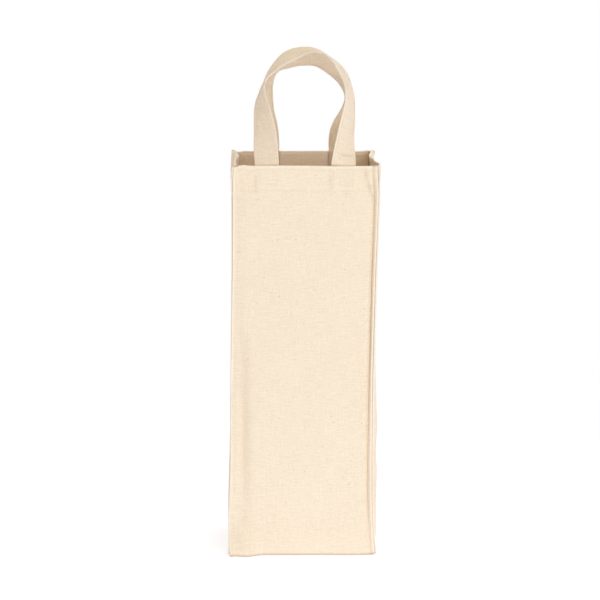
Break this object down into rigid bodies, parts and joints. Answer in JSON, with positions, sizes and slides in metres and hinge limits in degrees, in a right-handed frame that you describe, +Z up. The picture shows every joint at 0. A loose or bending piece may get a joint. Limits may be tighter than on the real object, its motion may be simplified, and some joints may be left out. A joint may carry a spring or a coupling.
{
  "type": "bottle carrier bag",
  "caption": "Tall narrow bag of unbleached cotton canvas with square corners, an open mouth and strap handles that swing, for carrying a bottle upright.",
  "frame": {"origin": "centre of the base, on the floor", "axes": "+Z up, -Y towards the viewer, square to the front panel, +X to the viewer's right"},
  "size_m": [0.13, 0.0908, 0.45],
  "materials": {
    "canvas": "matte plain weave, unbleached, with small brown flecks",
    "strap": "matte folded canvas, a little darker than the panels",
    "thread": "matte cotton thread"
  },
  "bodies": {
    "bag": {"front_panel": "canvas", "back_panel": "canvas", "left_gusset": "canvas", "right_gusset": "canvas", "base_panel": "canvas", "front_handle_tails": "strap", "back_handle_tails": "strap", "front_tail_stitching": "thread", "back_tail_stitching": "thread", "hem_stitching": "thread", "rim_stitching": "thread", "base_stitching": "thread", "front_left_edge_stitching": "thread", "front_right_edge_stitching": "thread", "back_left_edge_stitching": "thread", "back_right_edge_stitching": "thread"},
    "front_handle": {"front_handle": "strap", "front_handle_stitching": "thread"},
    "back_handle": {"back_handle": "strap", "back_handle_stitching": "thread"}
  },
  "joints": [
    {"name": "front_handle_swing", "type": "hinge", "parent": "bag", "child": "front_handle", "pos_m": [0, -0.045, 0.35], "axis": [1, 0, 0], "range_deg": [0, 175]},
    {"name": "back_handle_swing", "type": "hinge", "parent": "bag", "child": "back_handle", "pos_m": [0, 0.045, 0.35], "axis": [-1, 0, 0], "range_deg": [0, 175]}
  ]
}
